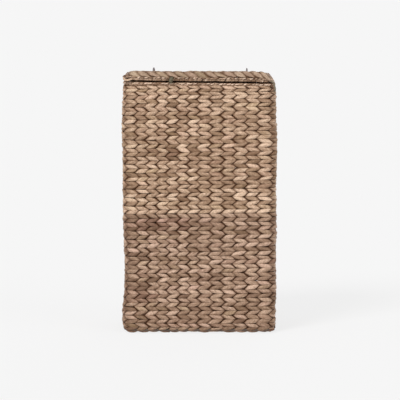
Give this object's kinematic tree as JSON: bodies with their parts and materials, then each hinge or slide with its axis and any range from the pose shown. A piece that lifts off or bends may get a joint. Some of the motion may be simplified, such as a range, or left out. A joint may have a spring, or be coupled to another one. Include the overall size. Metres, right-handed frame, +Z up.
{
  "type": "lidded woven laundry basket",
  "caption": "Tall rectangular laundry basket twined from water hyacinth on a steel rod frame, with a flat woven lid that folds right back on wire rings.",
  "frame": {"origin": "middle of the base's underside, on the floor, between the axes of the four walls", "axes": "+Z up, +X to the right of someone facing the front, +Y to the back, where the lid is hinged"},
  "size_m": [0.3616, 0.2669, 0.6073],
  "materials": {
    "hyacinth": "twined dried water hyacinth, matt with a faint dry sheen, grey-tan with pinkish and olive stitches",
    "shaded_hyacinth": "the same strand in a darker, browner lot",
    "binding_strand": "thin pale hyacinth strand wrapped close round a hoop",
    "frame_steel": "steel rod under thin brown-grey lacquer",
    "ring_steel": "dull grey drawn wire"
  },
  "bodies": {
    "basket": {"base_hoop": "frame_steel", "seam_hoop": "frame_steel", "rim_hoop": "frame_steel", "post_front_left": "frame_steel", "post_front_right": "frame_steel", "post_back_right": "frame_steel", "post_back_left": "frame_steel", "base_bar_left": "frame_steel", "base_bar_right": "frame_steel", "wall_front_lower": "shaded_hyacinth", "wall_front_upper": "hyacinth", "wall_right_lower": "shaded_hyacinth", "wall_right_upper": "hyacinth", "wall_back_lower": "shaded_hyacinth", "wall_back_upper": "hyacinth", "wall_left_lower": "shaded_hyacinth", "wall_left_upper": "hyacinth", "border_front": "shaded_hyacinth", "border_right": "shaded_hyacinth", "border_back": "shaded_hyacinth", "border_left": "shaded_hyacinth", "base_mat": "shaded_hyacinth", "rim_binding_front": "binding_strand", "rim_binding_right": "binding_strand", "rim_binding_back": "binding_strand", "rim_binding_left": "binding_strand"},
    "hinge_rings": {"hinge_ring_left": "ring_steel", "hinge_ring_right": "ring_steel"},
    "lid": {"lid_hoop": "frame_steel", "lid_brace_left": "frame_steel", "lid_brace_right": "frame_steel", "lid_mat": "hyacinth", "lid_binding_front": "binding_strand", "lid_binding_right": "binding_strand", "lid_binding_back": "binding_strand", "lid_binding_left": "binding_strand"}
  },
  "joints": [
    {"name": "ring_swing", "type": "hinge", "parent": "basket", "child": "hinge_rings", "pos_m": [0, 0.1185, 0.5804], "axis": [-1, 0, 0], "range_deg": [0, 88]},
    {"name": "lid_hinge", "type": "hinge", "parent": "hinge_rings", "child": "lid", "pos_m": [0, 0.1185, 0.594], "axis": [-1, 0, 0], "range_deg": [0, 176]}
  ],
  "couplings": [
    {"joint": "lid_hinge", "follows": "ring_swing", "ratio": 2}
  ]
}
